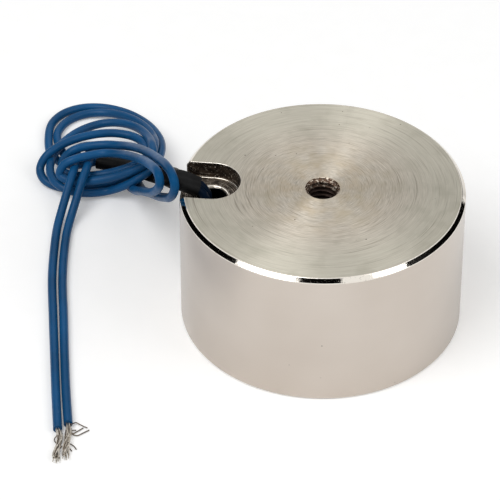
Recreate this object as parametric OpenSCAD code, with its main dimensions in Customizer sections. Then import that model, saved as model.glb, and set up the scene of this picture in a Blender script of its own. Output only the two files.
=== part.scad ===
// Round holding electromagnet. A nickel-plated steel pot is turned in one piece with its centre pole,
// holds a bobbin-wound coil sealed with resin at the holding face, and has a tapped hole and a cable
// slot in its back. Two blue leads leave the slot in a black sleeve and lie beside it in a loose coil.
// Millimetres, +Z up, origin at the centre of the holding face, cable slot towards -X.

/* [Pot] */
// Outside diameter of the pot
pot_d = 50; // [48:0.5:54]
// Height of the pot from the holding face to the back
pot_h = 27; // [26:0.5:32]
// Diameter of the centre pole
core_d = 24; // [22:0.5:26]
// Thickness of the ring pole around the coil groove
ring_t = 3; // [2.5:0.25:4]
// Thickness of the back between the coil groove and the back face
back_t = 7; // [6:0.25:8]
// Chamfer on the rim of the back face
rim_chamfer = 0.7; // [0.3:0.1:1.2]
// Chamfer on the edges of the two poles at the holding face
pole_chamfer = 0.3; // [0.1:0.05:0.5]

/* [Tapped hole] */
// Bore of the tapped hole, an M6 thread's core
tap_d = 5; // [4:0.1:6]
// Depth of the threaded wall from the back face
tap_depth = 12; // [8:0.5:14]
// Diameter of the countersunk mouth
tap_mouth_d = 6.1; // [6:0.1:7]
// Included angle of the drill point
drill_angle = 118; // [90:2:140]

/* [Cable slot] */
// Width of the slot
slot_w = 10; // [8:0.5:11]
// Depth of the slot below the back face
slot_depth = 3.3; // [2.5:0.1:4]
// Diameter of the lead hole in the floor of the slot
lead_hole_d = 5; // [4.6:0.2:6]
// Distance of the lead hole from the wall of the coil groove
lead_hole_inset = 0.1; // [0.1:0.1:1]
// Chamfer on the edge of the lead hole
lead_hole_chamfer = 0.3; // [0.1:0.05:0.5]

/* [Coil] */
// Room between the bobbin and the back for the lead joints
joint_room = 3.4; // [3:0.1:5]
// Thickness of the bobbin's hub wall
hub_t = 1; // [0.6:0.1:1.6]
// Thickness of each bobbin flange
flange_t = 1.2; // [0.8:0.1:1.8]
// Clearance of the bobbin on the centre pole
hub_clear = 0.15; // [0.05:0.05:0.3]
// Clearance of the flanges in the ring pole
flange_clear = 0.4; // [0.2:0.1:0.8]
// Depth of the winding below the flange edges
winding_inset = 1.8; // [1:0.1:3]
// Thickness of the tape around the winding
tape_t = 0.3; // [0.1:0.05:0.6]
// Width of the slot in the upper flange that each winding end passes through
wire_slot_w = 1.4; // [1:0.1:2]
// Diameter of the winding ends
wire_d = 0.5; // [0.3:0.05:0.8]

/* [Potting] */
// Depth of the resin in the coil groove
potting_t = 2; // [1:0.1:3]
// How far the resin lies below the holding face
potting_recess = 0.4; // [0.3:0.05:0.6]

/* [Lead joints] */
// Distance of the cut ends of the leads from the wall of the coil groove
joint_inset = 3.4; // [3:0.1:4]
// Angle of the cut ends of the leads around the pot from the slot
joint_place = 30; // [28:1:34]
// Angle of each joint to the slot's centre line
joint_angle = 35; // [30:1:40]
// Length of each soldered joint
joint_l = 6; // [4:0.5:7]
// Diameter of each soldered joint
joint_d = 1.2; // [0.8:0.1:1.6]
// Length of the sleeve over each joint
joint_sleeve_l = 9; // [8:0.5:10]
// Wall of the sleeve over each joint
joint_sleeve_t = 0.35; // [0.2:0.05:0.4]
// Bend radius of the winding ends
wire_bend = 0.9; // [0.6:0.1:1.2]

/* [Leads] */
// Diameter of each lead over its insulation
lead_d = 1.6; // [1.2:0.1:1.6]
// Diameter of the stripped strands at the free ends
strand_d = 0.9; // [0.6:0.1:1.2]
// Wall of the sleeve over both leads
lead_sleeve_t = 0.45; // [0.3:0.05:0.5]
// Clearance of small parts that slip over others
slip = 0.1; // [0.05:0.05:0.2]

/* [Hidden] */
$fn = 96;

pot_r = pot_d / 2;
core_r = core_d / 2;
groove_r = pot_r - ring_t;
groove_h = pot_h - back_t;
lead_hole_r = lead_hole_d / 2;
lead_hole_x = -(groove_r - lead_hole_inset - lead_hole_r);
slot_floor = pot_h - slot_depth;
eps = 0.01;

bobbin_z = potting_recess + potting_t;
bobbin_top = groove_h - joint_room;
hub_r = core_r + hub_clear;
flange_r = groove_r - flange_clear;
winding_r = flange_r - winding_inset;
winding_z = bobbin_z + flange_t;
winding_top = bobbin_top - flange_t;

joint_sleeve_d = lead_d + 2 * (slip + joint_sleeve_t);
joint_z = bobbin_top + joint_sleeve_d / 2 + slip;
joint_overlap = (joint_sleeve_l - joint_l) / 2;
lead_end_x = (groove_r - joint_inset) * cos(joint_place);
lead_end_y = (groove_r - joint_inset) * sin(joint_place);
lead_straight = joint_overlap + 2 * slip;
wire_run = joint_l + joint_overlap + wire_bend;

// The routes are in two mirrored roots, one sleeve, and for each lead a hooked last turn and a tail.
// Root of the lead on the +Y side, from its joint up the lead hole towards the sleeve
root_path = [[-lead_end_x, lead_end_y, joint_z],
             [-lead_end_x - lead_straight * cos(joint_angle),
              lead_end_y - lead_straight * sin(joint_angle), joint_z],
             [-18.8, 6.3, joint_z], [-19.5, 3.7, joint_z + 0.2], [-20, 1.6, joint_z + 1.4],
             [-20.3, 0.9, 21.5], [-20.4, 0.8, 23.5]];
// Centre line of the sleeve, out of the slot and down to the floor
sleeve_path = [[-21.8, 0, 25.4], [-24.4, 0, 26.5], [-26.3, 0.7, 26.4], [-27.4, 3.8, 24.6], [-28.6, 9.2, 20.3],
               [-29.8, 16.6, 14.3], [-31, 24, 8.2], [-32, 28, 4.8], [-33.8, 30.6, 3.3],
               [-38.4, 32.8, 3.1], [-45, 34, 3.1]];
// Each lead from the sleeve's end into the coil
into_coil_1 = [[-48, 33, 2.4], [-51.6, 34.6, 1]];
into_coil_2 = [[-48, 34.8, 2.4], [-51.4, 36.6, 1]];
// Each lead's last turn, from the coil's left side up over the sleeve and back down under the coil
last_turn_1 = [[-51.3, 26.7, 4.6], [-51.1, 27, 5.6], [-50.4, 27.5, 6.6], [-48.9, 27.9, 7.4],
               [-46.2, 29.2, 7.6], [-43.4, 30, 7.8], [-41.4, 29.4, 8.4], [-38.5, 26.6, 10.4],
               [-35.7, 20.9, 14.4], [-33.3, 13.2, 20], [-31.2, 5.5, 25.4], [-29.7, 0.8, 28.4],
               [-28.8, -1.7, 29.6], [-28.2, -3.4, 29.7], [-28.1, -3.5, 28.6], [-28.7, -1.5, 25.8],
               [-29.9, 2.2, 22], [-31.7, 7.7, 17.2], [-34.1, 15.6, 11], [-36.6, 23.6, 4.6],
               [-38.6, 29, 1.2], [-39.6, 31, 0.8], [-41.2, 34, 0.8]];
last_turn_2 = [[-51.5, 30.3, 3], [-51.6, 31.4, 3.6], [-51.2, 31.8, 4.6], [-49.5, 32.3, 6.2],
               [-46.8, 33.2, 6.7], [-43.3, 33.4, 7.2], [-41.2, 32.7, 7.8], [-38.7, 30.3, 9.6],
               [-35.7, 24.9, 13.4], [-32.7, 17.4, 18.4], [-29.9, 8.6, 24.2], [-27.6, 1.6, 28.4],
               [-26.2, -2.2, 29.8], [-25.5, -4.2, 29.8], [-25.4, -4.2, 28.6], [-25.8, -3.1, 26.2],
               [-26.8, -0.4, 23], [-28.3, 4, 19.3], [-30.1, 9.2, 15.2], [-32.1, 15.4, 10.6],
               [-34.3, 22.4, 5.4], [-36, 28, 1.4], [-37, 30.3, 0.8], [-39, 33.8, 0.8]];
// Each tail, up through the coil, over its front and along the floor to the stripped end
tail_1 = [[-42.4, 36.8, 0.8], [-44.4, 38.2, 1.8], [-46.4, 36.7, 3.9], [-46.7, 34, 5], [-46.3, 31, 5.2],
          [-46.2, 28, 6], [-46.5, 25, 5.9], [-47.4, 21, 3.4], [-48.2, 16.6, 0.9], [-48.1, 12, 0.8],
          [-47.1, 2, 0.8], [-45.3, -8.5, 0.8], [-43.6, -18.5, 0.8], [-41.9, -28, 0.8], [-40.2, -36.5, 0.8]];
tail_2 = [[-40.8, 37.4, 0.8], [-43.6, 40, 0.9], [-47, 39.8, 1.7], [-49.2, 37, 3.2], [-49.2, 34, 4.4],
          [-48.8, 30.8, 5.1], [-48.6, 27.6, 5.7], [-48.8, 24.6, 5.6], [-49.6, 20.6, 3], [-50.2, 16.6, 0.9],
          [-50, 12, 0.8], [-49, 2, 0.8], [-47.2, -8.5, 0.8], [-45.4, -18.5, 0.8], [-43.6, -28.5, 0.8],
          [-41.8, -38, 0.8]];
// Stripped strands beyond each tail
strands_1 = [[-40.2, -36.5, 0.8], [-39.8, -38.5, 0.8], [-39.6, -42, 0.5], [-39.5, -45, 0.5]];
strands_2 = [[-41.8, -38, 0.8], [-41.42, -40, 0.8], [-41.2, -43, 0.5], [-41, -46, 0.5]];

// Outer shape of the coiled turns, with the gap where the sleeve and the last turn pass through
coil_centre = [-45.2, 38.9];
coil_half_w = 12.2;
coil_half_l = 15.5;
coil_h = 4.2;
coil_eye = [-45.2, 37.4];
coil_eye_r = 5.8;
coil_gap = [[-44.8, 33], [-40, 23], [-31, 23], [-31.6, 36], [-35.2, 39]];

// Swept tubes: unit tangents along a path, a side vector carried along it without twist, then rings
function unit(v) = v / norm(v);
function tangent(path, i) = unit(path[min(i + 1, len(path) - 1)] - path[max(i - 1, 0)]);
function upright(side, along) = unit(side - (side * along) * along);
function carried_sides(path) =
    [for (i = 0, s = upright([0.3, 0.2, 1], tangent(path, 0)); i < len(path);
          i = i + 1, s = i < len(path) ? upright(s, tangent(path, i)) : s) s];
function level_sides(path) = [for (i = [0 : len(path) - 1]) unit(cross(tangent(path, i), [0, 0, 1]))];
function ring(centre, along, side, section) =
    [for (q = section) centre + q[0] * side + q[1] * cross(side, along)];
function rings(path, sides, section) =
    [for (i = [0 : len(path) - 1]) each ring(path[i], tangent(path, i), sides[i], section)];
function skin(count, n, from) =
    [for (i = [0 : count - 2], k = [0 : n - 1])
        let (a = from + i * n + k, b = from + i * n + (k + 1) % n) each [[a, b, b + n], [a, b + n, a + n]]];
function flipped(faces) = [for (f = faces) [f[0], f[2], f[1]]];
function beside(path, offset) =
    let (s = level_sides(path)) [for (i = [0 : len(path) - 1]) path[i] + offset * s[i]];
function mirrored_y(path) = [for (p = path) [p[0], -p[1], p[2]]];
function octagon(d) = [for (a = [22.5 : 45 : 359]) d / 2 * [cos(a), sin(a)]];
function flat_oval(r, reach) =
    [for (end = [1, -1], a = [-75 : 30 : 75]) [end * (reach + r * cos(a)), end * r * sin(a)]];

module tube(path, section) {
    n = len(section);
    last = (len(path) - 1) * n;
    polyhedron(rings(path, carried_sides(path), section),
               concat(flipped(skin(len(path), n, 0)), [[for (k = [0 : n - 1]) k]],
                      [[for (k = [0 : n - 1]) last + n - 1 - k]]));
}

module hollow_tube(path, outer, inner) {
    n = len(outer);
    count = len(path);
    sides = level_sides(path);
    points = concat(rings(path, sides, outer), rings(path, sides, inner));
    bore = count * n;
    last = (count - 1) * n;
    start = [for (k = [0 : n - 1]) let (j = (k + 1) % n) each [[k, j, bore + j], [k, bore + j, bore + k]]];
    end = [for (f = start) [for (v = f) v + last]];
    polyhedron(points, concat(flipped(skin(count, n, 0)), skin(count, n, bore), start, flipped(end)));
}

lead_route_1 = concat(mirrored_y(root_path), beside(sleeve_path, -lead_d / 2), into_coil_1);
lead_route_2 = concat(root_path, beside(sleeve_path, lead_d / 2), into_coil_2);

// Steel pot: one turned profile with the centre pole, coil groove and tapped hole, then the milled slot
module pot_body() {
    tap_r = tap_d / 2;
    mouth_r = tap_mouth_d / 2;
    tip = tap_depth + tap_r / tan(drill_angle / 2);
    color("silver") difference() {
        rotate_extrude() polygon([
            [0, 0], [core_r - pole_chamfer, 0], [core_r, pole_chamfer], [core_r, groove_h],
            [groove_r, groove_h], [groove_r, pole_chamfer], [groove_r + pole_chamfer, 0],
            [pot_r - pole_chamfer, 0], [pot_r, pole_chamfer], [pot_r, pot_h - rim_chamfer],
            [pot_r - rim_chamfer, pot_h], [mouth_r, pot_h], [tap_r, pot_h - (mouth_r - tap_r)],
            [tap_r, pot_h - tap_depth], [0, pot_h - tip]]);
        translate([lead_hole_x, 0, slot_floor]) {
            cylinder(d = slot_w, h = slot_depth + 1);
            translate([-pot_r, -slot_w / 2, 0]) cube([pot_r, slot_w, slot_depth + 1]);
        }
        translate([lead_hole_x, 0, groove_h - 1]) cylinder(r = lead_hole_r, h = back_t);
        translate([lead_hole_x, 0, slot_floor - lead_hole_chamfer])
            cylinder(r1 = lead_hole_r, r2 = lead_hole_r + lead_hole_chamfer + eps,
                     h = lead_hole_chamfer + eps);
    }
}

// Moulded bobbin on the centre pole, with a slot in its upper flange for each winding end
module coil_bobbin() {
    color("ivory") difference() {
        rotate_extrude() polygon([
            [hub_r, bobbin_z], [flange_r, bobbin_z], [flange_r, winding_z], [hub_r + hub_t, winding_z],
            [hub_r + hub_t, winding_top], [flange_r, winding_top], [flange_r, bobbin_top],
            [hub_r, bobbin_top]]);
        for (side = [-1, 1]) at_joint(side) translate([wire_run, 0, winding_top - joint_z - flange_t]) {
            cylinder(d = wire_slot_w, h = 3 * flange_t);
            translate([0, -wire_slot_w / 2, 0]) cube([pot_r, wire_slot_w, 3 * flange_t]);
        }
    }
}

module ring_solid(inner_r, outer_r, z, top) {
    rotate_extrude() translate([inner_r, z]) square([outer_r - inner_r, top - z]);
}

module coil_winding() {
    color("peru") ring_solid(hub_r + hub_t, winding_r, winding_z, winding_top);
}

module winding_tape() {
    color("gold") ring_solid(winding_r, winding_r + tape_t, winding_z, winding_top);
}

module potting_ring() {
    color("dimgray") ring_solid(core_r, groove_r, potting_recess, bobbin_z);
}

// Frame of a joint: at the cut end of its lead, with +X along the joint
module at_joint(side) {
    translate([-lead_end_x, side * lead_end_y, joint_z]) rotate([0, 0, side * joint_angle]) children();
}

// Enamelled winding end: up through the flange, round a bend and into the joint
module winding_end(side) {
    rise = joint_z - wire_bend - winding_top;
    color("peru") at_joint(side) {
        translate([wire_run, 0, winding_top - joint_z]) cylinder(d = wire_d, h = rise);
        translate([wire_run - wire_bend, 0, -wire_bend]) rotate([90, 0, 0])
            rotate_extrude(angle = 90) translate([wire_bend, 0]) circle(d = wire_d);
        translate([joint_l, 0, 0]) rotate([0, 90, 0])
            cylinder(d = wire_d, h = wire_run - wire_bend - joint_l);
    }
}
module winding_end_1() { winding_end(-1); }
module winding_end_2() { winding_end(1); }

module solder_joint(side) {
    color("gainsboro") at_joint(side) rotate([0, 90, 0]) cylinder(d = joint_d, h = joint_l);
}
module solder_joint_1() { solder_joint(-1); }
module solder_joint_2() { solder_joint(1); }

module joint_sleeve(side) {
    bore = lead_d + 2 * slip;
    color("black") at_joint(side) translate([-joint_overlap, 0, 0]) rotate([0, 90, 0]) difference() {
        cylinder(d = joint_sleeve_d, h = joint_sleeve_l);
        translate([0, 0, -1]) cylinder(d = bore, h = joint_sleeve_l + 2);
    }
}
module joint_sleeve_1() { joint_sleeve(-1); }
module joint_sleeve_2() { joint_sleeve(1); }

// Insulated leads: from the joint through the sleeve to the coil, then the last turn and the tail
module lead_wire(inner_route, outer_route) {
    color("royalblue") {
        difference() {
            tube(inner_route, octagon(lead_d));
            lead_coil();
        }
        difference() {
            tube(outer_route, octagon(lead_d));
            lead_coil();
        }
    }
}
module lead_wire_1() { lead_wire(lead_route_1, concat(last_turn_1, tail_1)); }
module lead_wire_2() { lead_wire(lead_route_2, concat(last_turn_2, tail_2)); }

// Shrunk sleeve that holds both leads side by side
module lead_sleeve() {
    bore_r = lead_d / 2 + slip;
    color("black") hollow_tube(sleeve_path, flat_oval(bore_r + lead_sleeve_t, lead_d / 2),
                               flat_oval(bore_r, lead_d / 2));
}

// Coiled turns of both leads as one plain solid
module lead_coil() {
    straight = coil_half_l - coil_half_w;
    color("royalblue") linear_extrude(coil_h) difference() {
        translate(coil_centre) {
            for (end = [-1, 1]) translate([0, end * straight]) circle(coil_half_w);
            square([2 * coil_half_w, 2 * straight], center = true);
        }
        translate(coil_eye) circle(coil_eye_r);
        polygon(coil_gap);
    }
}

module bare_strands(path) { color("gainsboro") tube(path, octagon(strand_d)); }
module bare_strands_1() { bare_strands(strands_1); }
module bare_strands_2() { bare_strands(strands_2); }

pot_body();
coil_bobbin();
coil_winding();
winding_tape();
winding_end_1();
winding_end_2();
solder_joint_1();
solder_joint_2();
joint_sleeve_1();
joint_sleeve_2();
potting_ring();
lead_wire_1();
lead_wire_2();
lead_sleeve();
lead_coil();
bare_strands_1();
bare_strands_2();
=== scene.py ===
"""Looks of a round holding electromagnet: a turned nickel-plated pot with sleeved blue leads beside it."""
import math

import bmesh
import bpy
import numpy as np
from mathutils import Matrix


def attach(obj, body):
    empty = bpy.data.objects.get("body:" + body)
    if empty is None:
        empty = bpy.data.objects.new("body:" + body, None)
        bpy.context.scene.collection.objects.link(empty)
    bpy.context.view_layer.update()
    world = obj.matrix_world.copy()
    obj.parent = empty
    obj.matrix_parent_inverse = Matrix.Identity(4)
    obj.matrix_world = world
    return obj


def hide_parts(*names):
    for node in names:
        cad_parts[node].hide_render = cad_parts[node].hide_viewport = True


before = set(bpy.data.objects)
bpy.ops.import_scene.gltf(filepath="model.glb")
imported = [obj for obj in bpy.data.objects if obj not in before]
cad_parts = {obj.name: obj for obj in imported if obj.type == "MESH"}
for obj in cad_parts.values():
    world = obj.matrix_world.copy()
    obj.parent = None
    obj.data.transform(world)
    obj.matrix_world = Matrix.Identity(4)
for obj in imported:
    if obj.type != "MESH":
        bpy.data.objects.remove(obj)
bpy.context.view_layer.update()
MM = 0.001

# Camera
# A long lens about half a metre away, 40 degrees above the floor and 6 degrees to the right of the
# line that is square to the cable slot.
EYE_MM = (32.7, -425.0, 367.59)
EYE_AZIMUTH = math.radians(6.1)
EYE_ELEVATION = math.radians(39.77)
LENS_MM = 225.47
SENSOR_MM = 36
NEAR_CLIP_M = 0.01

back = np.array([math.sin(EYE_AZIMUTH) * math.cos(EYE_ELEVATION),
                 -math.cos(EYE_AZIMUTH) * math.cos(EYE_ELEVATION),
                 math.sin(EYE_ELEVATION)])
right = np.array([math.cos(EYE_AZIMUTH), math.sin(EYE_AZIMUTH), 0])
up = np.cross(back, right)
eye_data = bpy.data.cameras.new("eye")
eye_data.lens = LENS_MM
eye_data.sensor_width = SENSOR_MM
eye_data.clip_start = NEAR_CLIP_M
eye = bpy.data.objects.new("eye", eye_data)
turn = np.eye(4)
turn[:3, 0] = right
turn[:3, 1] = up
turn[:3, 2] = back
turn[:3, 3] = np.array(EYE_MM) * MM
eye.matrix_world = Matrix(turn.tolist())
bpy.context.scene.collection.objects.link(eye)
bpy.context.scene.camera = eye
bpy.context.scene.view_settings.view_transform = "Standard"


# Leads
# Two lengths of stranded wire in blue PVC insulation, extruded, 1.6 mm over all. They run side by side
# from the joints in the pot up the lead hole, through the sleeve, and lie as a loose coil on the floor.
WIRE_MM = 1.6
SLEEVE_R_MM = 1.35
ROOT_MM = [(-16.11, 9.3, 17.95), (-17.5, 8.32, 17.95), (-18.8, 6.3, 17.95), (-19.5, 3.7, 18.15),
           (-20, 1.6, 19.35), (-20.3, 0.9, 21.5), (-20.4, 0.8, 23.5)]
SLEEVE_MM = [(-21.8, 0, 25.4), (-24.4, 0, 26.5), (-26.3, 0.7, 26.4), (-27.4, 3.8, 24.6), (-28.6, 9.2, 20.3),
             (-29.8, 16.6, 14.3), (-31, 24, 8.2), (-32, 28, 4.8), (-33.8, 30.6, 3.3), (-38.4, 32.8, 3.1),
             (-45, 34, 3.1)]
INTO_COIL_MM = {1: [(-48, 33, 2.4), (-51.6, 34.6, 1), (-54.6, 37.2, 0.8)],
                2: [(-48, 34.8, 2.4), (-51.4, 36.6, 1)]}
# Each lead's four half-turns in the coil: where they start and end and their middles, as the camera sees
# them on the floor, and the heights at the start, three places between and the end of each
HALF_ENDS_MM = {1: [(-56.3, 44.4), (-34.3, 43), (-54.4, 33.8), (-35.7, 41.4), (-52.4, 32.4)],
                2: [(-54.6, 43.8), (-35.6, 43.1), (-56.3, 33.8), (-36.8, 41.1), (-52.2, 34.1)]}
HALF_TOPS_MM = {1: [(-47.1, 54.05), (-42.8, 28.5), (-46.7, 49), (-42.2, 32.8)],
                2: [(-46, 52.5), (-45, 29.7), (-47.6, 45.5), (-43.3, 33.9)]}
HALF_HEIGHTS_MM = {1: [(0.8, 0.8, 0.8, 2, 5.2), (5.2, 6.2, 1.4, 2.4, 3.2),
                       (3.2, 2.6, 2.6, 4.6, 8.4), (8.4, 8, 5.2, 3.8, 4.6)],
                   2: [(0.8, 0.8, 1.4, 3.4, 6.6), (6.6, 6, 0.8, 0.8, 2),
                       (2, 4.8, 5, 4.8, 6.2), (6.2, 6.2, 3.8, 2.8, 3)]}
LAST_TURN_MM = {
    1: [(-51.3, 26.7, 4.6), (-51.1, 27, 5.6), (-50.4, 27.5, 6.6), (-48.9, 27.9, 7.4), (-46.2, 29.2, 7.6),
        (-43.4, 30, 7.8), (-41.4, 29.4, 8.4), (-38.5, 26.6, 10.4), (-35.7, 20.9, 14.4), (-33.3, 13.2, 20),
        (-31.2, 5.5, 25.4), (-29.7, 0.8, 28.4), (-28.8, -1.7, 29.6), (-28.2, -3.4, 29.7), (-28.1, -3.5, 28.6),
        (-28.7, -1.5, 25.8), (-29.9, 2.2, 22), (-31.7, 7.7, 17.2), (-34.1, 15.6, 11), (-36.6, 23.6, 4.6),
        (-38.6, 29, 1.2), (-39.6, 31, 0.8), (-41.2, 34, 0.8)],
    2: [(-51.5, 30.3, 3), (-51.6, 31.4, 3.6), (-51.2, 31.8, 4.6), (-49.5, 32.3, 6.2), (-46.8, 33.2, 6.7),
        (-43.3, 33.4, 7.2), (-41.2, 32.7, 7.8), (-38.7, 30.3, 9.6), (-35.7, 24.9, 13.4), (-32.7, 17.4, 18.4),
        (-29.9, 8.6, 24.2), (-27.6, 1.6, 28.4), (-26.2, -2.2, 29.8), (-25.5, -4.2, 29.8), (-25.4, -4.2, 28.6),
        (-25.8, -3.1, 26.2), (-26.8, -0.4, 23), (-28.3, 4, 19.3), (-30.1, 9.2, 15.2), (-32.1, 15.4, 10.6),
        (-34.3, 22.4, 5.4), (-36, 28, 1.4), (-37, 30.3, 0.8), (-39, 33.8, 0.8)]}
TAIL_MM = {
    1: [(-42.4, 36.8, 0.8), (-44.4, 38.2, 1.8), (-46.4, 36.7, 3.9), (-46.7, 34, 5), (-46.3, 31, 5.2),
        (-46.2, 28, 6), (-46.5, 25, 5.9), (-47.4, 21, 3.4), (-48.2, 16.6, 0.9), (-48.1, 12, 0.8),
        (-47.1, 2, 0.8), (-45.3, -8.5, 0.8), (-43.6, -18.5, 0.8), (-41.9, -28, 0.8), (-40.2, -36.5, 0.8)],
    2: [(-40.8, 37.4, 0.8), (-43.6, 40, 0.9), (-47, 39.8, 1.7), (-49.2, 37, 3.2), (-49.2, 34, 4.4),
        (-48.8, 30.8, 5.1), (-48.6, 27.6, 5.7), (-48.8, 24.6, 5.6), (-49.6, 20.6, 3), (-50.2, 16.6, 0.9),
        (-50, 12, 0.8), (-49, 2, 0.8), (-47.2, -8.5, 0.8), (-45.4, -18.5, 0.8), (-43.6, -28.5, 0.8),
        (-41.8, -38, 0.8)]}
ROUTE_SAMPLES = 12
HALF_POINTS = 8
LEAD_STEP_MM = 0.8
LEAD_SAMPLES = 3
LEAD_RING_MM = 0.4
LEAD_SIDES = 20
SETTLE_ROUNDS = 200
SETTLE_LIST_ROUNDS = 20
SETTLE_NEAR_MM = 4.5
SETTLE_SKIP_MM = 3.2 * WIRE_MM
SETTLE_PUSH = 0.35
SETTLE_EASE = 0.08
SETTLE_RETURN = 0.01
HELD_BY_SLEEVE_MM = 1.5
HELD_TAIL_MM = 50
START_SIDE = (0.3, 0.2, 1.0)
SMOOTH_DEG = 40


def unit(rows):
    """Each row divided by its own length."""
    return rows / np.linalg.norm(rows, axis=1)[:, None]


def smooth(points, count):
    """A centripetal Catmull-Rom curve through the points, with count samples between each two."""
    p = np.asarray(points, float)
    p = np.vstack([2 * p[0] - p[1], p, 2 * p[-1] - p[-2]])
    rows = []
    for a, b, c, d in zip(p, p[1:], p[2:], p[3:]):
        t1 = np.linalg.norm(b - a) ** 0.5
        t2 = t1 + np.linalg.norm(c - b) ** 0.5
        t3 = t2 + np.linalg.norm(d - c) ** 0.5
        t = np.linspace(t1, t2, count, endpoint=False)[:, None]
        ab = (t1 - t) / t1 * a + t / t1 * b
        bc = (t2 - t) / (t2 - t1) * b + (t - t1) / (t2 - t1) * c
        cd = (t3 - t) / (t3 - t2) * c + (t - t2) / (t3 - t2) * d
        ac = (t2 - t) / t2 * ab + t / t2 * bc
        bd = (t3 - t) / (t3 - t1) * bc + (t - t1) / (t3 - t1) * cd
        rows.append((t2 - t) / (t2 - t1) * ac + (t - t1) / (t2 - t1) * bd)
    return np.vstack(rows + [p[-2:-1]])


def along(line):
    """The distance of each point from the start, measured on the line."""
    return np.r_[0, np.cumsum(np.linalg.norm(np.diff(line, axis=0), axis=1))]


def spaced(line, step):
    """Points about one step apart on the line."""
    s = along(line)
    u = np.linspace(0, s[-1], int(round(s[-1] / step)) + 1)
    return np.stack([np.interp(u, s, line[:, i]) for i in range(3)], 1)


def half_turn(start, end, middle, heights):
    """Half an ellipse on the floor from start to end by way of its middle, then each point raised to its
    height along the line from the floor to the camera."""
    p, q, top = (np.array([*v, 0.0]) for v in (start, end, middle))
    t = np.pi * np.arange(HALF_POINTS) / HALF_POINTS
    centre = (p + q) / 2
    line = centre - np.cos(t)[:, None] * (q - p) / 2 + np.sin(t)[:, None] * (top - centre)
    count = len(heights)
    rise = smooth(np.stack([np.arange(count), heights, np.zeros(count)], 1), HALF_POINTS // (count - 1))
    return line + (np.array(EYE_MM) - line) * (rise[:HALF_POINTS, 1] / EYE_MM[2])[:, None]


def beside_sleeve(offset):
    """The sleeve's centre line moved sideways, level with the floor."""
    line = np.array(SLEEVE_MM, float)
    return line + offset * unit(np.cross(np.gradient(line, axis=0), (0, 0, 1)))


def lead_route(which):
    """One lead's points from its joint to its stripped end, how many of them are the root's, and how many
    are the root's and the sleeve's together."""
    side = {1: -1, 2: 1}[which]
    root = np.array(ROOT_MM, float) * (1, side, 1)
    sleeved = beside_sleeve(side * WIRE_MM / 2)
    parts = [root, sleeved, np.array(INTO_COIL_MM[which], float)]
    ends = HALF_ENDS_MM[which]
    for turn_no in range(4):
        parts.append(half_turn(ends[turn_no], ends[turn_no + 1], HALF_TOPS_MM[which][turn_no],
                               HALF_HEIGHTS_MM[which][turn_no]))
    parts.append(np.array(LAST_TURN_MM[which], float))
    parts.append(np.array(TAIL_MM[which], float))
    return np.vstack(parts), len(root), len(root) + len(sleeved)


def settle():
    """Both leads laid out, then eased apart along the camera's line of sight: strands nearer than their
    thickness push each other away, the shifts are smoothed along each lead, and nothing goes below the
    floor. Roots, sleeve and tails stay."""
    sight = back / back[2]
    lines, free, reach, owner, place = [], [], [], [], []
    for which in (1, 2):
        points, first, last = lead_route(which)
        fine = smooth(points, ROUTE_SAMPLES)
        s = along(fine)
        line = spaced(fine, LEAD_STEP_MM)
        u = np.linspace(0, s[-1], len(line))
        sleeve_start = s[first * ROUTE_SAMPLES]
        sleeve_end = s[(last - 1) * ROUTE_SAMPLES]
        lines.append(line)
        free.append((u > sleeve_end + HELD_BY_SLEEVE_MM) & (u < s[-1] - HELD_TAIL_MM))
        reach.append(np.where((u >= sleeve_start) & (u <= sleeve_end), SLEEVE_R_MM, WIRE_MM / 2))
        owner.append(np.full(len(line), which))
        place.append(u)
    split = len(lines[0])
    start = np.vstack(lines)
    free, reach, owner, place = (np.concatenate(v) for v in (free, reach, owner, place))
    bare = reach < SLEEVE_R_MM
    lift = np.zeros(len(start))
    for turn_no in range(SETTLE_ROUNDS):
        p = start + lift[:, None] * sight
        if turn_no % SETTLE_LIST_ROUNDS == 0:
            near = np.triu(np.linalg.norm(p[:, None] - p[None], axis=2) < SETTLE_NEAR_MM, 1)
            near &= (owner[:, None] != owner[None]) | (np.abs(place[:, None] - place[None]) > SETTLE_SKIP_MM)
            near &= bare[:, None] | bare[None]
            i, j = np.nonzero(near)
            need = reach[i] + reach[j]
        apart = p[i] - p[j]
        deep = apart @ back
        aside = (apart ** 2).sum(1) - deep ** 2
        wanted = np.sqrt(np.maximum(need ** 2 - aside, 0))
        hit = wanted > np.abs(deep)
        push = np.where(hit, (wanted - np.abs(deep)) * np.where(deep >= 0, 1, -1), 0) * back[2]
        moved = np.zeros(len(p))
        hits = np.zeros(len(p))
        for index, sign in ((i, 1), (j, -1)):
            np.add.at(moved, index, sign * push)
            np.add.at(hits, index, hit)
        lift = lift + free * SETTLE_PUSH * moved / np.maximum(hits, 1)
        for a, b in ((0, split), (split, len(p))):
            q = lift[a:b]
            ease = np.zeros_like(q)
            ease[2:-2] = (4 * (q[1:-3] + q[3:-1]) - 6 * q[2:-2] - q[:-4] - q[4:]) / 16
            ease[1:-1] += SETTLE_EASE * (q[:-2] + q[2:] - 2 * q[1:-1])
            lift[a:b] = q + free[a:b] * ease
        lift = np.maximum(lift * (1 - SETTLE_RETURN * free), WIRE_MM / 2 - start[:, 2])
    p = start + lift[:, None] * sight
    return {1: p[:split], 2: p[split:]}


def carried_frames(line):
    """Two vectors square to a line at each of its points, carried on along it without twist."""
    t = unit(np.gradient(line, axis=0))
    side = np.zeros_like(t)
    s = np.array(START_SIDE)
    for i, d in enumerate(t):
        s = s - s.dot(d) * d
        s = s / np.linalg.norm(s)
        side[i] = s
    return side, np.cross(t, side)


def skin(rows, columns, first=0):
    """Quads that join each ring of points to the next."""
    i, k = np.meshgrid(np.arange(rows - 1), np.arange(columns), indexing="ij")
    a = first + i * columns + k
    b = first + i * columns + (k + 1) % columns
    return np.stack([a, b, b + columns, a + columns], 2).reshape(-1, 4).tolist()


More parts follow.
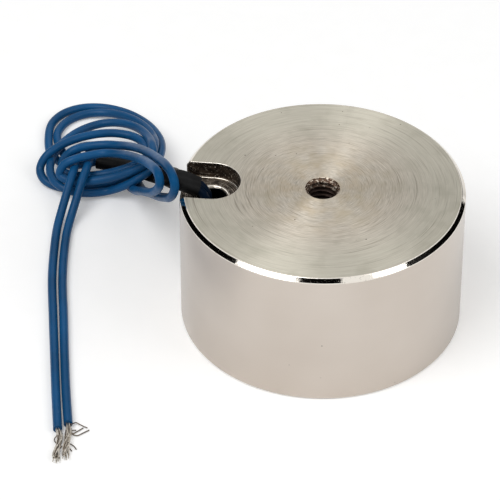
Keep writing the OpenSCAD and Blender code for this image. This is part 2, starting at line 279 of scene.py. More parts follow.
def tube(line, radius, sides, first=0):
    """Rings of the given radius around the line, closed at both ends by flat caps. The number of its first
    point in the mesh is first."""
    side, cross = carried_frames(line)
    a = 2 * np.pi * np.arange(sides) / sides
    ring = np.cos(a)[None, :, None] * side[:, None] + np.sin(a)[None, :, None] * cross[:, None]
    last = first + (len(line) - 1) * sides
    caps = [list(range(first, first + sides))[::-1], list(range(last, last + sides))]
    return (line[:, None] + radius * ring).reshape(-1, 3), skin(len(line), sides, first) + caps


def add_piece(name, points_mm, faces, material, replaced):
    """A smooth-shaded mesh object that rides on the part and stands for CAD nodes."""
    mesh = bpy.data.meshes.new(name)
    mesh.from_pydata((np.asarray(points_mm) * MM).tolist(), [], faces)
    mesh.polygons.foreach_set("use_smooth", np.ones(len(mesh.polygons), bool))
    mesh.set_sharp_from_angle(angle=math.radians(SMOOTH_DEG))
    mesh.materials.append(material)
    piece = bpy.data.objects.new(name, mesh)
    bpy.context.scene.collection.objects.link(piece)
    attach(piece, "root")
    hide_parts(*replaced)
    return piece


def colour(text):
    """An sRGB hex colour as the linear values that a colour socket takes."""
    parts = [int(text[i:i + 2], 16) / 255 for i in (1, 3, 5)]
    return [c / 12.92 if c <= 0.04045 else ((c + 0.055) / 1.055) ** 2.4 for c in parts] + [1]


def feed(tree, node, *values, **named):
    """Sets or links a node's inputs: values go to its live inputs in their order, named ones to the inputs
    so named, with _ for a space. Each is a number, a hex colour or the socket that feeds it."""
    pairs = list(zip([s for s in node.inputs if s.enabled], values))
    pairs += [(node.inputs[name.replace("_", " ")], value) for name, value in named.items()]
    for socket, value in pairs:
        if isinstance(value, bpy.types.NodeSocket):
            tree.links.new(value, socket)
        else:
            socket.default_value = colour(value) if isinstance(value, str) else value


def put(tree, kind, *values, **named):
    """Adds a node and gives its first live output. Names in lower case are its settings, and values and
    capitalised names are its inputs."""
    node = tree.nodes.new("ShaderNode" + kind)
    for name in [n for n in named if n.islower()]:
        setattr(node, name, named.pop(name))
    feed(tree, node, *values, **named)
    return next(s for s in node.outputs if s.enabled)


def per(size_mm):
    """The scale of a pattern that repeats about every size_mm: one over that length in metres."""
    return 1 / (size_mm * MM)


def layered(tree, base, *layers):
    """A base colour with others laid over it in turn. A layer is its colour, the value that places it and,
    where they aren't 0 to 1, the range of that value and the range of the layer's share."""
    for over, *ranges in layers:
        share = put(tree, "MapRange", *ranges)
        base = put(tree, "Mix", share, base, over, data_type="RGBA")
    return base


def new_material(name):
    """An empty material: its node tree, its surface shader and the object coordinate socket."""
    material = bpy.data.materials.new(name)
    material.use_nodes = True
    tree = material.node_tree
    return material, tree, tree.nodes["Principled BSDF"], put(tree, "TexCoord").node.outputs["Object"]


# Extruded PVC insulation: satin, with a faint die texture, slow changes of tone and a few rubbed places;
# duller where the last turn stands up, and painted dark navy where the leads pass the slot, as painted shade
blue_pvc, tree, shader, place = new_material("blue_pvc")
xyz = put(tree, "SeparateXYZ", place).node.outputs
gloss = put(tree, "TexNoise", place, per(2.5), 3)
die_marks = put(tree, "TexNoise", place, per(0.22), 3)
tone = layered(tree, "#0b4570",
               ("#115283", put(tree, "TexNoise", place, per(9)), 0.35, 0.65),
               ("#335e86", put(tree, "TexNoise", place, per(1.6), 4, 0.65), 0.62, 0.78, 0, 0.4),
               # painted shade: dark navy on the leads where they pass the slot
               ("#0d1a2b", xyz["X"], -24.5 * MM, -21.5 * MM))
feed(tree, shader, Base_Color=tone, IOR=1.5, Roughness=put(tree, "MapRange", gloss, 0.3, 0.7, 0.3, 0.4),
     Specular_IOR_Level=put(tree, "MapRange", xyz["Z"], 3 * MM, 22 * MM, 0.19, 0.05),
     Normal=put(tree, "Bump", Height=die_marks, Distance=0.012 * MM))

lead_lines = settle()
for which in (1, 2):
    line = spaced(smooth(lead_lines[which], LEAD_SAMPLES), LEAD_RING_MM)
    points, faces = tube(line, WIRE_MM / 2, LEAD_SIDES)
    nodes = {1: ("lead_wire_1", "lead_coil"), 2: ("lead_wire_2",)}[which]
    add_piece(f"lead_{which}", points, faces, blue_pvc, nodes)


# Sleeve on the leads
# A length of black shrink tubing, slipped over both leads and heated, so that it hugs them in a flat
# oval with a shallow valley along each side. It keeps the leads together where they leave the slot.
SLEEVE_WALL_MM = 0.45
SLEEVE_STEP_MM = 0.5
SLEEVE_SIDES = 40
SLEEVE_FLATNESS = 2.2
SLEEVE_VALLEY = 0.7
SLEEVE_DIPS = {SLEEVE_R_MM: 0.14, SLEEVE_R_MM - SLEEVE_WALL_MM: 0.04}


def oval_ring(radius, reach, dip):
    """A flat oval: a circle whose halves are moved apart by reach, eased by a hyperbolic tangent, with its
    long sides dipping in at their middle by a bell curve."""
    a = 2 * np.pi * (np.arange(SLEEVE_SIDES) + 0.5) / SLEEVE_SIDES
    x = reach * np.tanh(SLEEVE_FLATNESS * np.cos(a)) / np.tanh(SLEEVE_FLATNESS) + radius * np.cos(a)
    y = radius * np.sin(a) * (1 - dip * np.exp(-(x / (SLEEVE_VALLEY * reach)) ** 2))
    return x, y


# Shrink tubing: near-black polyolefin with a dull skin, faintly wrinkled where it shrank
black_sleeve, tree, shader, place = new_material("black_sleeve")
worn = put(tree, "TexNoise", place, per(1.1), 4, 0.6)
gloss = put(tree, "TexNoise", place, per(3), 3)
wrinkles = put(tree, "TexNoise", place, per(0.5), 4, 0.6)
feed(tree, shader, Base_Color=layered(tree, "#040404", ("#0e0e0f", worn, 0.45, 0.75)),
     Roughness=put(tree, "MapRange", gloss, 0.3, 0.7, 0.46, 0.62), Specular_IOR_Level=0.14,
     Normal=put(tree, "Bump", Height=wrinkles, Distance=0.03 * MM))

line = spaced(smooth(SLEEVE_MM, ROUTE_SAMPLES), SLEEVE_STEP_MM)
tangent = unit(np.gradient(line, axis=0))
side = unit(np.cross(tangent, (0, 0, 1)))
over = np.cross(side, tangent)
shells = []
for radius, dip in SLEEVE_DIPS.items():
    x, y = oval_ring(radius, WIRE_MM / 2, dip)
    oval = x[None, :, None] * side[:, None] + y[None, :, None] * over[:, None]
    shells.append((line[:, None] + oval).reshape(-1, 3))
rows = len(line)
bore = rows * SLEEVE_SIDES
end = bore - SLEEVE_SIDES
k = np.arange(SLEEVE_SIDES)
n = (k + 1) % SLEEVE_SIDES
near_rim = np.stack([n, k, bore + k, bore + n], 1).tolist()
far_rim = np.stack([end + k, end + n, bore + end + n, bore + end + k], 1).tolist()
bore_faces = [f[::-1] for f in skin(rows, SLEEVE_SIDES, bore)]
sleeve = add_piece("lead_sleeve_skin", np.vstack(shells),
                   skin(rows, SLEEVE_SIDES) + bore_faces + near_rim + far_rim, black_sleeve,
                   ("lead_sleeve",))


# Stripped ends
# About 8 mm of each lead is bared. Its fine tinned copper strands have sprung apart and bent, and a few
# stand out to the side on the floor.
STRAND_MM = 0.21
STRANDS = 13
STRAND_SIDES = 8
STRAND_SAMPLES = 8
STRAND_STEP_MM = 0.3
STRAY_STEP_MM = 0.25
BUNDLE_R_MM = 0.42
BUNDLE_MM = {
    1: [(-40.2, -36.2, 0.8), (-39.9, -38, 0.8), (-39.8, -40.4, 0.6), (-39.75, -42.6, 0.5),
        (-39.55, -44.8, 0.45)],
    2: [(-41.8, -37.7, 0.8), (-41.25, -39.4, 0.8), (-41.15, -41.2, 0.6), (-41.2, -43.4, 0.5),
        (-41.1, -45.7, 0.45)]}
STRAYS_MM = {
    1: [[(-40, -36.4, 0.9), (-39.7, -36.7, 0.9), (-39.4, -36.2, 0.7), (-39, -35.5, 0.3), (-38.3, -35.8, 0.2),
         (-37.4, -36.3, 0.2), (-36.9, -36.5, 0.2)],
        [(-39.7, -37.8, 0.6), (-39.4, -38.1, 0.3), (-39.1, -38.2, 0.2), (-38.6, -37.7, 0.2),
         (-37.6, -36.6, 0.2)],
        [(-39.8, -37.8, 0.5), (-39.4, -38.3, 0.4), (-39, -38.6, 0.3), (-38.3, -38.6, 0.2),
         (-37.8, -38.2, 0.2), (-36.5, -37, 0.2)],
        [(-39.6, -38, 0.6), (-39.3, -37.6, 0.4), (-38.7, -37.4, 0.3)],
        [(-39.8, -40.4, 0.4), (-39.5, -40.7, 0.3), (-39, -40.9, 0.2), (-38.5, -41.3, 0.2), (-38, -42, 0.2)],
        [(-39.7, -41, 0.3), (-39.4, -41.6, 0.2), (-38.7, -42.5, 0.2)]],
    2: [[(-41.9, -38.3, 0.9), (-41.7, -39.4, 0.7), (-42, -40, 0.5), (-42, -40.5, 0.4), (-41.6, -41.1, 0.5),
         (-40.7, -42.7, 0.8), (-40.4, -42.2, 0.9)]]}


def strand_lines(which):
    """Centre lines of one bundle: each strand keeps its own place in the section, winds about the bundle,
    and drifts outwards and to and fro by sines of its own phase towards its end."""
    core = spaced(smooth(BUNDLE_MM[which], STRAND_SAMPLES), STRAND_STEP_MM)
    side, cross = carried_frames(core)
    lines = []
    for k in range(STRANDS):
        u = np.linspace(0, 1, len(core))
        ring = BUNDLE_R_MM * math.sqrt((k + 0.5) / STRANDS)
        angle = 2.4 * k + 1.6 * u + 0.9 * np.sin(5 * u + 1.7 * k)
        flare = ring * (1 + (0.7 + 0.4 * math.sin(2.1 * k)) * u ** 1.5)
        wander = 0.22 * np.sin(np.pi * u) * math.sin(3.3 * k + which)
        path = core + (flare * np.cos(angle))[:, None] * side
        path += (flare * np.sin(angle) + wander)[:, None] * cross
        path[:, 2] = np.maximum(path[:, 2], STRAND_MM / 2 + 0.02)
        stop = len(path) - int(2.5 * (1 + math.sin(4.7 * k)))
        lines.append(path[:stop])
    strays = [smooth(points, STRAND_SAMPLES) for points in STRAYS_MM[which]]
    return lines + [spaced(line, STRAY_STEP_MM) for line in strays]


def strand_metal(name, bright, dull, smoothest, roughest):
    """Tin on drawn copper: two tones in patches 0.7 mm across, a roughness that changes every 0.4 mm and a
    grain of 0.08 mm."""
    metal, tree, shader, place = new_material(name)
    patches = put(tree, "TexNoise", place, per(0.7), 3)
    gloss = put(tree, "TexNoise", place, per(0.4))
    grain = put(tree, "TexNoise", place, per(0.08))
    feed(tree, shader, Base_Color=layered(tree, bright, (dull, patches, 0.35, 0.7)), Metallic=1.0,
         Roughness=put(tree, "MapRange", gloss, 0.3, 0.7, smoothest, roughest),
         Normal=put(tree, "Bump", Height=grain, Distance=0.004 * MM))
    return metal


# Tinned copper: bright grey tin over drawn wire, dulled in patches
tinned_copper = strand_metal("tinned_copper", "#e6e1d7", "#a29a8f", 0.24, 0.45)
# Tarnished copper, where the tin has rubbed thin: every fifth strand of a bundle and those that stand out
tarnished_copper = strand_metal("tarnished_copper", "#7f756b", "#5b5249", 0.3, 0.5)

ends = {}
for which in (1, 2):
    all_points, all_faces, kinds, count = [], [], [], 0
    for number, path in enumerate(strand_lines(which)):
        points, faces = tube(path, STRAND_MM / 2, STRAND_SIDES, count)
        all_points.append(points)
        all_faces += faces
        kinds += [int(number >= STRANDS or number % 5 == 3)] * len(faces)
        count += len(points)
    ends[which] = add_piece(f"strands_{which}", np.vstack(all_points), all_faces, tinned_copper,
                            (f"bare_strands_{which}",))
    ends[which].data.materials.append(tarnished_copper)
    ends[which].data.polygons.foreach_set("material_index", kinds)


# Pot
# One piece of free-cutting steel, turned from bar: ring pole, back and centre pole together. The back is
# faced on the lathe, the rim chamfered, the slot milled, and all of it nickel plated. The M6 hole is tapped
# last, so its thread is bare.
POT_R_MM = 25.0
POT_H_MM = 27.0
SLOT_HALF_MM = 5.0
LEAD_HOLE_MM = (-19.4, 0.0)
TAP_R_MM = 2.5
TAP_MOUTH_R_MM = 3.05
TAP_END_MM = 15.0
THREAD_PITCH_MM = 1.0
THREAD_DEPTH_MM = 0.5
THREAD_ROOT_FLAT = 0.125
THREAD_CREST_FLAT = 0.75
THREAD_COLUMNS = 72
THREAD_ROW_MM = 0.08
THREAD_FADE_MM = 1.5
THREAD_SMOOTH_DEG = 35
POT_SMOOTH_DEG = 25
EDGE_BREAK_MM = 0.1
EDGE_DEG = 30
WELD_M = 1e-7
FLAT_DEG = 0.3
# What the pot's faces are told apart by: the rim's width and depth, how low and how far in the slot
# reaches, small margins, and the upward part of a level face's and of the chamfer's normal
RIM_WIDE_MM = 0.7
RIM_DEEP_MM = 1.0
SLOT_LOW_MM = 19.9
SLOT_IN_MM = -14.0
FACE_NEAR_MM = 0.1
EDGE_NEAR_MM = 0.05
SIDE_NEAR_MM = 0.03
WALL_NEAR_MM = 0.01
LEVEL_UP = 0.9
CHAMFER_UP = 0.675
CHAMFER_SPAN = 0.275


def thread_wall():
    """The tapped wall as a grid round and down the hole: the radius is the core radius plus the depth of a
    60 degree thread with flat crest and root, on a right-hand helix, fading out at the bottom; the
    countersink is kept where it is wider."""
    z = np.arange(POT_H_MM, TAP_END_MM - THREAD_ROW_MM / 2, -THREAD_ROW_MM)
    z[-1] = TAP_END_MM
    a = 2 * np.pi * np.arange(THREAD_COLUMNS) / THREAD_COLUMNS
    phase = (z[:, None] / THREAD_PITCH_MM - a[None] / (2 * np.pi)) % 1
    flank = THREAD_CREST_FLAT - THREAD_ROOT_FLAT
    depth = np.clip((THREAD_CREST_FLAT - np.abs(2 * phase - 1)) / flank, 0, 1)
    fade = np.clip((z - TAP_END_MM) / THREAD_FADE_MM, 0, 1)[:, None]
    r = TAP_R_MM + THREAD_DEPTH_MM * depth * fade
    r = np.maximum(r, TAP_MOUTH_R_MM - (POT_H_MM - z[:, None]))
    points = np.stack([r * np.cos(a), r * np.sin(a), np.broadcast_to(z[:, None], r.shape)], 2)
    return points.reshape(-1, 3), skin(len(z), THREAD_COLUMNS)


def from_axis(tree, place, centre_mm=(0, 0)):
    """The level vector from an upright axis through centre_mm to the place."""
    x, y = centre_mm
    shifted = put(tree, "VectorMath", place, (-x * MM, -y * MM, 0), operation="ADD")
    return put(tree, "VectorMath", shifted, (1, 1, 0), operation="MULTIPLY")


def ring_radius(tree, place, centre_mm=(0, 0)):
    """Distance in metres from an upright axis through centre_mm."""
    return put(tree, "VectorMath", from_axis(tree, place, centre_mm), operation="LENGTH")


def pits(tree, place, cell_mm, size, share):
    """Small round pits: cells about cell_mm apart, a share of which hold a pit of the given size."""
    cell = put(tree, "TexVoronoi", place, per(cell_mm))
    chosen = put(tree, "SeparateColor", cell.node.outputs["Color"])
    near = put(tree, "MapRange", cell, size, size * 0.5)
    held = put(tree, "MapRange", chosen, 1 - share, 1 - share + 0.02)
    return put(tree, "Math", near, held, operation="MULTIPLY")


def wavered(tree, value, place, size_mm, amount_mm):
    """A length in metres with a slow waver added, so that tool marks aren't perfect circles."""
    slow = put(tree, "TexNoise", place, per(size_mm))
    drift = put(tree, "MapRange", slow, 0, 1, -amount_mm * MM, amount_mm * MM)
    return put(tree, "Math", value, drift, operation="ADD")


def arc_marks(tree, place, across_mm, to_radian):
    """Noise in arcs around the axis: it changes every across_mm outwards and to_radian times in a radian."""
    around = put(tree, "VectorMath", from_axis(tree, place), operation="NORMALIZE")
    around = put(tree, "VectorMath", around, to_radian, operation="SCALE")
    outward = put(tree, "Math", ring_radius(tree, place), across_mm * MM, operation="DIVIDE")
    spot = put(tree, "VectorMath", around, put(tree, "CombineXYZ", Z=outward), operation="ADD")
    return put(tree, "TexNoise", spot, 1.0)


# Faced and plated back: fine concentric tool marks in short and long arcs, which spread a reflection
# outwards from the axis, so that light fans out of the middle; faint broader bands, a warmer tone around
# the hole, a greener one towards the rim, soft stains and rare pits
turned_nickel, tree, shader, place = new_material("nickel_turned_back")
radius = ring_radius(tree, place)
marked = wavered(tree, radius, place, 9, 0.03)
fine = put(tree, "TexNoise", marked, per(0.14), 3, noise_dimensions="1D")
broad = put(tree, "TexNoise", marked, per(0.7), noise_dimensions="1D")
arcs = arc_marks(tree, place, 0.11, 6)
long_arcs = arc_marks(tree, place, 0.22, 1.6)
inner = put(tree, "MapRange", radius, 12 * MM, 19 * MM, 1, 0.4)
grooves = put(tree, "Math", put(tree, "MapRange", arcs, 0.5, 0.7, 0, 0.55), inner, operation="MULTIPLY")
ridges = put(tree, "Math", put(tree, "MapRange", arcs, 0.48, 0.3, 0, 0.5), inner, operation="MULTIPLY")
by_hole = put(tree, "MapRange", radius, 4 * MM, 15 * MM, 0.5, 0)
patches = put(tree, "MapRange", put(tree, "TexNoise", place, per(2.5), 3), 0.35, 0.65)
tone = layered(tree, "#b9b1a3",
               ("#cdc5b9", fine, 0.3, 0.7),
               ("#c3c2b4", radius, 13 * MM, 20 * MM, 0, 0.55),
               ("#b5ad9f", broad, 0.35, 0.65, 0, 0.25),
               ("#958d80", grooves),
               ("#e0d9cd", ridges),
               ("#7f776b", long_arcs, 0.6, 0.7, 0, 0.5),
               ("#a5a192", put(tree, "TexNoise", place, per(5), 3), 0.52, 0.7, 0, 0.4),
               ("#bfac8e", put(tree, "Math", by_hole, patches, operation="MULTIPLY")),
               ("#4a4238", pits(tree, place, 1.8, 0.085, 0.3)))
feed(tree, shader, Base_Color=tone, Metallic=1.0, Roughness=put(tree, "MapRange", fine, 0.3, 0.7, 0.4, 0.5),
     Anisotropic=0.85, Anisotropic_Rotation=0.25,
     Tangent=put(tree, "Tangent", direction_type="RADIAL", axis="Z"),
     Normal=put(tree, "Bump", Height=arcs, Distance=0.006 * MM))

# Ground and plated side: nearly smooth under a clear coat, with very faint rings around it, soft clouding
# and a few pits
side_nickel, tree, shader, place = new_material("nickel_side")
height = put(tree, "SeparateXYZ", place).node.outputs["Z"]
rings = put(tree, "TexNoise", height, per(0.15), noise_dimensions="1D")
cloud = put(tree, "TexNoise", place, per(16))
tone = layered(tree, "#ccc1b6",
               ("#d5cbc1", cloud, 0.3, 0.7),
               ("#c3b8ac", rings, 0.35, 0.65, 0, 0.1),
               ("#6b6157", pits(tree, place, 3.1, 0.05, 0.3)))
feed(tree, shader, Base_Color=tone, Metallic=1.0, Coat_Weight=1.0, Coat_Roughness=0.26,
     Roughness=put(tree, "MapRange", cloud, 0.3, 0.7, 0.36, 0.42),
     Normal=put(tree, "Bump", Height=rings, Distance=0.0004 * MM))

# Chamfer: one pass of a sharp tool under bright plating, so it is a mirror with a few nicks
bright_nickel, tree, shader, place = new_material("nickel_chamfer")
nick = put(tree, "MapRange", put(tree, "TexNoise", place, per(0.5), 4, 0.7), 0.6, 0.72)
waves = put(tree, "TexNoise", place, per(0.6), 3)
feed(tree, shader, Base_Color=layered(tree, "#ebe5db", ("#a89f94", nick)), Metallic=1.0,
     Roughness=put(tree, "MapRange", nick, 0, 1, 0.06, 0.25),
     Normal=put(tree, "Bump", Height=waves, Distance=0.01 * MM))

# Milled slot: thin plating over a rough cut, dark brown with lighter patches, with bright arcs on its floor,
# bright marks at the foot of its wall and burrs; the lead hole below it is painted nearly black as painted
# shade
milled_slot, tree, shader, place = new_material("steel_milled_slot")
xyz = put(tree, "SeparateXYZ", place).node.outputs
swept = wavered(tree, ring_radius(tree, place, LEAD_HOLE_MM), place, 3, 0.12)
arcs = put(tree, "TexNoise", swept, per(0.4), 3, noise_dimensions="1D")
fed = wavered(tree, xyz["Z"], place, 1.5, 0.5)
feeds = put(tree, "TexNoise", fed, per(0.5), 3, noise_dimensions="1D")
foot = put(tree, "MapRange", xyz["Z"], 24.3 * MM, 25.6 * MM, 1, 0.25)
feeds = put(tree, "Math", feeds, foot, operation="MULTIPLY")
facing = put(tree, "SeparateXYZ", put(tree, "TexCoord").node.outputs["Normal"]).node.outputs["Z"]
marks = put(tree, "Mix", put(tree, "MapRange", facing, 0.4, 0.6), feeds, arcs)
grime = put(tree, "TexNoise", place, per(0.9), 4, 0.65)
tone = layered(tree, "#1d1612",
               ("#5d5045", grime, 0.35, 0.65),
               ("#cabfb0", marks, 0.46, 0.6, 0, 0.85),
               ("#e4dcd0", put(tree, "TexNoise", place, per(0.35), 3, 0.6), 0.6, 0.68),
               ("#17110e", put(tree, "TexNoise", place, per(1.6), 3, 0.6), 0.5, 0.62, 0, 0.6),
               # painted shade: nearly black below the slot's floor, down the lead hole
               ("#080504", xyz["Z"], 23.4 * MM, 23.65 * MM, 1, 0))
feed(tree, shader, Base_Color=tone, Metallic=0.85,
     Roughness=put(tree, "MapRange", grime, 0.3, 0.7, 0.32, 0.55),
     Normal=put(tree, "Bump", Height=marks, Distance=0.03 * MM))

# Tapped wall: bare cut thread with brown surface rust, bright specks at the mouth, and painted darker deeper
# down as painted shade inside the hole
rusty_thread, tree, shader, place = new_material("steel_tapped_wall")
height = put(tree, "SeparateXYZ", place).node.outputs["Z"]
rust = put(tree, "TexNoise", place, per(0.5), 4, 0.65)
tone = layered(tree, "#2a1a12",
               ("#6f5745", rust, 0.35, 0.62),
               ("#dccfbe", put(tree, "TexNoise", place, per(0.4), 3), 0.52, 0.6),
               # painted shade: darker towards the bottom of the hole
               ("#24150d", height, 24.8 * MM, 27 * MM, 1, 0))
feed(tree, shader, Base_Color=tone, Metallic=0.7, Roughness=put(tree, "MapRange", rust, 0.3, 0.7, 0.35, 0.6),
     Normal=put(tree, "Bump", Height=rust, Distance=0.02 * MM))

# Poles at the holding face: ground flat, plated, with fine concentric scratches from use
pole_nickel, tree, shader, place = new_material("nickel_pole_face")
swept = wavered(tree, ring_radius(tree, place), place, 8, 0.1)
scratches = put(tree, "TexNoise", swept, per(0.1), 3, noise_dimensions="1D")
scuff = put(tree, "TexNoise", place, per(2.5), 4, 0.65)
tone = layered(tree, "#aea69b",
               ("#c6beb3", scratches, 0.3, 0.7),
               ("#8f867b", scuff, 0.6, 0.75, 0, 0.6))
feed(tree, shader, Base_Color=tone, Metallic=1.0, Anisotropic=0.4,
     Tangent=put(tree, "Tangent", direction_type="RADIAL", axis="Z"),
     Roughness=put(tree, "MapRange", scuff, 0.3, 0.7, 0.24, 0.38),
     Normal=put(tree, "Bump", Height=scratches, Distance=0.004 * MM))


def rows_of(items, name, width, kind=float):
    """One property of every point, corner or face of a mesh, one row each."""
    rows = np.empty(len(items) * width, kind)
    items.foreach_get(name, rows)
    return rows.reshape(-1, width)


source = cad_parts["pot_body"]
shape = bmesh.new()
shape.from_mesh(source.data)
bmesh.ops.remove_doubles(shape, verts=shape.verts, dist=WELD_M)
wall = []
for face in shape.faces:
    c = face.calc_center_median() / MM
    inside = math.hypot(c.x, c.y) < TAP_MOUTH_R_MM - WALL_NEAR_MM
    if inside and TAP_END_MM + WALL_NEAR_MM < c.z < POT_H_MM - WALL_NEAR_MM:
        wall.append(face)
bmesh.ops.delete(shape, geom=wall, context="FACES")
bmesh.ops.dissolve_limit(shape, angle_limit=math.radians(FLAT_DEG), verts=shape.verts, edges=shape.edges)
pot_mesh = bpy.data.meshes.new("pot_skin")
shape.to_mesh(pot_mesh)
shape.free()
SIDE, BACK, BRIGHT, SLOT, TAPPED, POLE = range(6)
for material in (side_nickel, turned_nickel, bright_nickel, milled_slot, rusty_thread, pole_nickel):
    pot_mesh.materials.append(material)
x, y, z = rows_of(pot_mesh.polygons, "center", 3).T / MM
up_z = rows_of(pot_mesh.polygons, "normal", 3)[:, 2]
r = np.hypot(x, y)
reach = np.linalg.norm(rows_of(pot_mesh.vertices, "co", 3)[:, :2], axis=1) / MM
corners = rows_of(pot_mesh.loops, "vertex_index", 1, np.int32)[:, 0]
starts = rows_of(pot_mesh.polygons, "loop_start", 1, np.int32)[:, 0]
widest = np.maximum.reduceat(reach[corners], starts)
in_hole = (widest < TAP_MOUTH_R_MM + EDGE_NEAR_MM) & (z > TAP_END_MM - 2 * TAP_R_MM)
on_back = (up_z > LEVEL_UP) & (z > POT_H_MM - FACE_NEAR_MM)
on_rim = (r > POT_R_MM - RIM_WIDE_MM) & (z > POT_H_MM - RIM_DEEP_MM)
on_rim &= np.abs(up_z - CHAMFER_UP) < CHAMFER_SPAN
in_slot = (z > SLOT_LOW_MM) & (x < SLOT_IN_MM) & (r < POT_R_MM - SIDE_NEAR_MM)
in_slot &= np.abs(y) < SLOT_HALF_MM + EDGE_NEAR_MM
on_pole = (up_z < -LEVEL_UP) & (z < FACE_NEAR_MM)
kinds = np.select([in_hole, on_back, on_rim, in_slot, on_pole], [TAPPED, BACK, BRIGHT, SLOT, POLE], SIDE)
pot_mesh.polygons.foreach_set("material_index", kinds.astype(np.int32))
pot_mesh.polygons.foreach_set("use_smooth", np.ones(len(pot_mesh.polygons), bool))
pot_mesh.set_sharp_from_angle(angle=math.radians(POT_SMOOTH_DEG))
pot = bpy.data.objects.new("pot_skin", pot_mesh)
bpy.context.scene.collection.objects.link(pot)
edges = pot.modifiers.new("broken_edges", "BEVEL")
edges.width = EDGE_BREAK_MM * MM
edges.segments = 2
edges.material = BRIGHT
edges.limit_method = "ANGLE"
edges.angle_limit = math.radians(EDGE_DEG)
edges.harden_normals = True
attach(pot, "root")
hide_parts("pot_body")

points, faces = thread_wall()
thread = bpy.data.meshes.new("tapped_thread")
thread.from_pydata((points * MM).tolist(), [], [f[::-1] for f in faces])
thread.materials.append(rusty_thread)
thread.polygons.foreach_set("use_smooth", np.ones(len(thread.polygons), bool))
thread.set_sharp_from_angle(angle=math.radians(THREAD_SMOOTH_DEG))
thread_piece = bpy.data.objects.new("tapped_thread", thread)
bpy.context.scene.collection.objects.link(thread_piece)
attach(thread_piece, "root")


# Resin ring
# Black casting resin, poured into the coil groove from the holding face and cured a little below the
# poles, with a smooth skin that is faintly uneven.
potting_resin, tree, shader, place = new_material("potting_resin")
swirl = put(tree, "TexNoise", place, per(6), 3)
gloss = put(tree, "TexNoise", place, per(2), 3)
waves = put(tree, "TexNoise", place, per(1.8), 3)
feed(tree, shader, Base_Color=layered(tree, "#131416", ("#1e1f22", swirl, 0.3, 0.7)),
     Roughness=put(tree, "MapRange", gloss, 0.3, 0.7, 0.18, 0.34),
     Normal=put(tree, "Bump", Height=waves, Distance=0.03 * MM))


def dress(material, *names):
    """Gives CAD nodes one material in place of their own."""
    for name in names:
        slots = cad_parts[name].data.materials
        slots.clear()
        slots.append(material)


dress(potting_resin, "potting_ring")


# Coil
# Enamelled copper wire wound on a moulded bobbin that slides onto the centre pole, with yellow tape around
# it. Its two ends are soldered to the leads under black sleeves, in the room above the bobbin.
TURN_MM = 0.5
# The wave texture's bands at scale 1 are this far apart
WAVE_BAND = 0.314

# Moulded nylon: pale, with a faint fibrous grain
nylon_bobbin, tree, shader, place = new_material("nylon_bobbin")
fibre = put(tree, "TexNoise", place, per(0.5), 4, 0.6)
feed(tree, shader, Base_Color=layered(tree, "#e6dfcc", ("#d3cab2", fibre, 0.35, 0.7)),
     Roughness=put(tree, "MapRange", fibre, 0.3, 0.7, 0.45, 0.62),
     Normal=put(tree, "Bump", Height=fibre, Distance=0.01 * MM))
dress(nylon_bobbin, "coil_bobbin")

# Enamelled magnet wire: turns 0.5 mm apart, seen as ridges around the pole, each painted lighter on its crown
# and darker between turns as painted shade
enamelled_copper, tree, shader, place = new_material("enamelled_copper")
turns = put(tree, "TexWave", place, WAVE_BAND * per(TURN_MM), 0.4, bands_direction="Z").node.outputs["Fac"]
# painted shade and highlight: lighter on each turn's crown, darker between turns
tone = layered(tree, "#5f2c12",
               ("#b0622f", turns),
               ("#c9803f", put(tree, "TexNoise", place, per(3)), 0.4, 0.7, 0, 0.4))
feed(tree, shader, Base_Color=tone, Metallic=0.9, Roughness=0.3,
     Normal=put(tree, "Bump", Height=turns, Distance=0.1 * MM))
dress(enamelled_copper, "coil_winding", "winding_end_1", "winding_end_2")

# Polyester film tape: glossy, with slight creases
polyester_tape, tree, shader, place = new_material("polyester_tape")
crease = put(tree, "TexNoise", place, per(2.2), 3)
feed(tree, shader, Base_Color=layered(tree, "#d8b13a", ("#c59a26", crease, 0.3, 0.7)),
     Roughness=put(tree, "MapRange", crease, 0.3, 0.7, 0.2, 0.34),
     Normal=put(tree, "Bump", Height=crease, Distance=0.04 * MM))
dress(polyester_tape, "winding_tape")

dress(tinned_copper, "solder_joint_1", "solder_joint_2")
dress(black_sleeve, "joint_sleeve_1", "joint_sleeve_2")


# Floor, flags and light
# A pale floor, one large soft lamp from the front left, a weaker one from the right, and a white room.
# Four dark flags, which only reflections see, stand left, right, around the camera and low at the back.
FLOOR_M = 3.0
FLOOR_LIFT = 0.2
MIRROR_LIFT = 0.12
KEY_M = (-0.35, -0.35, 0.8)
KEY_SIZE_M = 0.6
KEY_W = 4.0
FILL_M = (0.6, -0.2, 0.6)
FILL_SIZE_M = 0.5
FILL_W = 1.6
ROOM_LIGHT = 0.45
FLAG_M = 0.6
FAR_FLAG_M = 1.0

floor_mesh = bpy.data.meshes.new("floor")
corners = [(x * FLOOR_M, y * FLOOR_M, 0) for x, y in ((-1, -1), (1, -1), (1, 1), (-1, 1))]
floor_mesh.from_pydata(corners, [], [(0, 1, 2, 3)])
floor = bpy.data.objects.new("floor", floor_mesh)
bpy.context.scene.collection.objects.link(floor)
# Matt white board: a faint grain, lifted to white for the camera, and a little where metal mirrors it away
# from the pot
pale_floor, tree, shader, place = new_material("pale_floor")
grain = put(tree, "TexNoise", place, per(4))
rays = put(tree, "LightPath").node.outputs
away = put(tree, "MapRange", ring_radius(tree, place), 26 * MM, 56 * MM, 0, MIRROR_LIFT)
mirrored = put(tree, "Math", rays["Is Glossy Ray"], away, operation="MULTIPLY")
lift = put(tree, "Math", rays["Is Camera Ray"], FLOOR_LIFT, mirrored, operation="MULTIPLY_ADD")
feed(tree, shader, Base_Color=layered(tree, "#f2f2f1", ("#f6f6f6", grain)), Roughness=0.9,
     Specular_IOR_Level=0.0, Emission_Color=(1, 1, 1, 1), Emission_Strength=lift)
floor_mesh.materials.append(pale_floor)

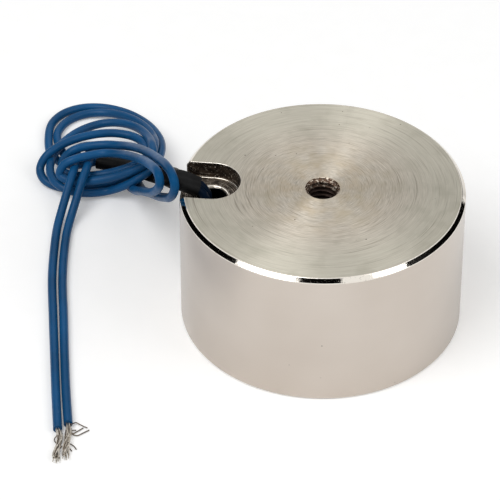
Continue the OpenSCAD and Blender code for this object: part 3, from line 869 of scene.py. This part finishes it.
world = bpy.data.worlds.new("white_room")
bpy.context.scene.world = world
world.use_nodes = True
tree = world.node_tree
rays = put(tree, "LightPath").node.outputs
seen = put(tree, "Math", rays["Is Camera Ray"], rays["Is Glossy Ray"], operation="MAXIMUM")
seen = put(tree, "Math", seen, rays["Is Transmission Ray"], operation="MAXIMUM")
feed(tree, tree.nodes["Background"], Color=(1, 1, 1, 1),
     Strength=put(tree, "MapRange", seen, 0, 1, ROOM_LIGHT, 1.0))


def lamp(name, place_m, size_m, watts):
    """A square soft lamp that faces the object."""
    data = bpy.data.lights.new(name, "AREA")
    data.shape = "SQUARE"
    data.size = size_m
    data.energy = watts
    made = bpy.data.objects.new(name, data)
    made.location = place_m
    made.rotation_euler = made.location.to_track_quat("Z", "Y").to_euler()
    bpy.context.scene.collection.objects.link(made)


lamp("key", KEY_M, KEY_SIZE_M, KEY_W)
lamp("fill", FILL_M, FILL_SIZE_M, FILL_W)

# Black cloth, which gives back almost no light
flag_black, tree, shader, place = new_material("flag_black")
cloth = put(tree, "TexNoise", place, per(5))
feed(tree, shader, Base_Color=layered(tree, "#050505", ("#0a0a0a", cloth)), Roughness=1.0,
     Specular_IOR_Level=0.0)


def flag(name, edges, distance_m):
    """A dark band around the object, given by azimuths from the front with a lower and an upper elevation
    each, in degrees; only reflections see it."""
    points = []
    for azimuth, low, high in edges:
        a = math.radians(azimuth)
        for e in (math.radians(low), math.radians(high)):
            level = distance_m * math.cos(e)
            points.append((level * math.sin(a), -level * math.cos(a), distance_m * math.sin(e)))
    faces = [(2 * i, 2 * i + 2, 2 * i + 3, 2 * i + 1) for i in range(len(edges) - 1)]
    mesh = bpy.data.meshes.new(name)
    mesh.from_pydata(points, [], faces)
    mesh.materials.append(flag_black)
    made = bpy.data.objects.new(name, mesh)
    bpy.context.scene.collection.objects.link(made)
    made.visible_camera = False
    made.visible_diffuse = False
    made.visible_shadow = False


flag("flag_left", [(-65, 24, 54), (-86, 16, 44), (-100, 8, 37), (-124, 1, 28), (-146, 1, 36)], FLAG_M)
flag("flag_right", [(74, 25, 55), (99, 16, 44), (112, 8, 37), (130, 4, 30), (158, 6, 36)], FLAG_M)
flag("flag_camera", [(-14, 44, 56), (4, 44, 56), (22, 44, 56)], FLAG_M)
flag("flag_back", [(152, 0.5, 12), (170, 0.5, 12), (190, 0.5, 12), (208, 0.5, 12)], FAR_FLAG_M)
